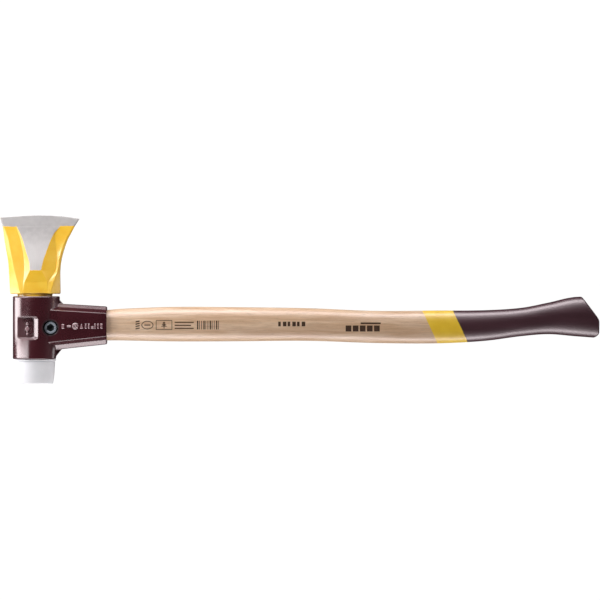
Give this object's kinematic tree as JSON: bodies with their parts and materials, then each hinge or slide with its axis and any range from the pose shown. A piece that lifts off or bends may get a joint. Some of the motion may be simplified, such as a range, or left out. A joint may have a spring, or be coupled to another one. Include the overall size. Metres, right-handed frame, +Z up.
{
  "type": "splitting maul",
  "caption": "Long-handled splitting maul with a clamped two-part cast housing, a replaceable steel splitting blade, a nylon striking face and a curved hickory handle.",
  "frame": {"origin": "centre of the nylon striking face", "axes": "the tool lies on its side: +X along the handle towards the knob, +Y from the striking face towards the cutting edge, +Z up; the handle slopes down by 1.17 degrees so that barrel and knob both rest on the surface"},
  "size_m": [0.8798, 0.2466, 0.0665],
  "materials": {
    "cast_housing": "dark maroon gloss paint",
    "blade": "yellow paint with bare ground centre and edge",
    "nylon": "satin white nylon",
    "hickory": "clear lacquer with a yellow band and a dark lacquered grip",
    "screw_steel": "blackened",
    "plated_steel": "zinc plated"
  },
  "bodies": {
    "maul": {"rear_housing": "cast_housing", "splitting_blade": "blade", "nylon_face": "nylon", "hickory_handle": "hickory", "clamp_nut": "plated_steel"},
    "front_shell": {"front_housing": "cast_housing", "lock_washer": "plated_steel"},
    "screw": {"clamp_screw": "screw_steel"}
  },
  "joints": [
    {"name": "front_shell_open", "type": "slide", "parent": "maul", "child": "front_shell", "axis": [0.0204, 0, 0.9998], "range_m": [0, 0.007]},
    {"name": "clamp_screw_turn", "type": "hinge", "parent": "front_shell", "child": "screw", "pos_m": [0.02349, 0.0822, -0.00048], "axis": [0.0204, 0, 0.9998], "range_deg": [0, 1440]}
  ],
  "couplings": [
    {"joint": "clamp_screw_turn", "follows": "front_shell_open", "rad_per_m": 3590.4}
  ]
}
